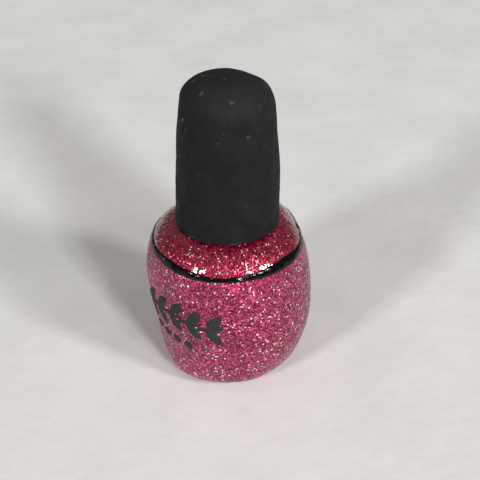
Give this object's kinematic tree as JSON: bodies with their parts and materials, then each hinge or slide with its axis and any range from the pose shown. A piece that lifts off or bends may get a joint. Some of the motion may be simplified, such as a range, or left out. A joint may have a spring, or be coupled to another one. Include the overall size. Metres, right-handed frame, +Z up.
{
  "type": "nail polish bottle",
  "caption": "Squat round glitter-coated nail polish bottle with a tall tapered matte cap that unscrews and lifts out its brush.",
  "frame": {"origin": "middle of the foot ring, on the surface that the bottle stands on", "axes": "+Z up along the bottle's axis, from the foot to the crown of the cap; the painted sprig faces between -X and -Y"},
  "size_m": [0.035, 0.0351, 0.0682],
  "materials": {
    "clear_glass": "polished",
    "pink_glitter": "fine glitter under a gloss varnish",
    "crimson_glitter": "fine glitter under a thick gloss varnish",
    "gloss_black_paint": "gloss",
    "matte_black_paint": "matte",
    "label_paper": "coated paper",
    "lacquer": "wet gloss",
    "ball_steel": "polished",
    "cap_black": "matte, faintly grained",
    "closure_plastic": "satin moulded",
    "liner_foam": "satin",
    "stem_plastic": "satin moulded",
    "bristle_nylon": "drawn filament",
    "anchor_metal": "rolled"
  },
  "bodies": {
    "bottle": {"glass_bottle": "clear_glass", "glitter_coat": "pink_glitter", "shoulder_glaze": "crimson_glitter", "shoulder_band": "gloss_black_paint", "painted_sprig": "matte_black_paint", "base_label": "label_paper", "polish": "lacquer"},
    "liner": {"seal_liner": "liner_foam"},
    "cap": {"overcap": "cap_black", "inner_cap": "closure_plastic", "brush_stem": "stem_plastic", "bristles": "bristle_nylon", "bristle_anchor": "anchor_metal"},
    "ball_a": {"mixing_ball_a": "ball_steel"},
    "ball_b": {"mixing_ball_b": "ball_steel"}
  },
  "joints": [
    {"name": "cap_lift", "type": "slide", "parent": "bottle", "child": "liner", "axis": [0, 0, 1], "range_m": [0, 0.046]},
    {"name": "cap_turn", "type": "hinge", "parent": "liner", "child": "cap", "pos_m": [0, 0, 0.048], "axis": [0, 0, 1], "range_deg": [0, 765]},
    {"name": "ball_a_roll", "type": "hinge", "parent": "bottle", "child": "ball_a", "pos_m": [0, 0, 0.005], "axis": [0, 0, 1], "range_deg": [-75, 75]},
    {"name": "ball_b_roll", "type": "hinge", "parent": "bottle", "child": "ball_b", "pos_m": [0, 0, 0.005], "axis": [0, 0, 1], "range_deg": [-75, 75]}
  ]
}
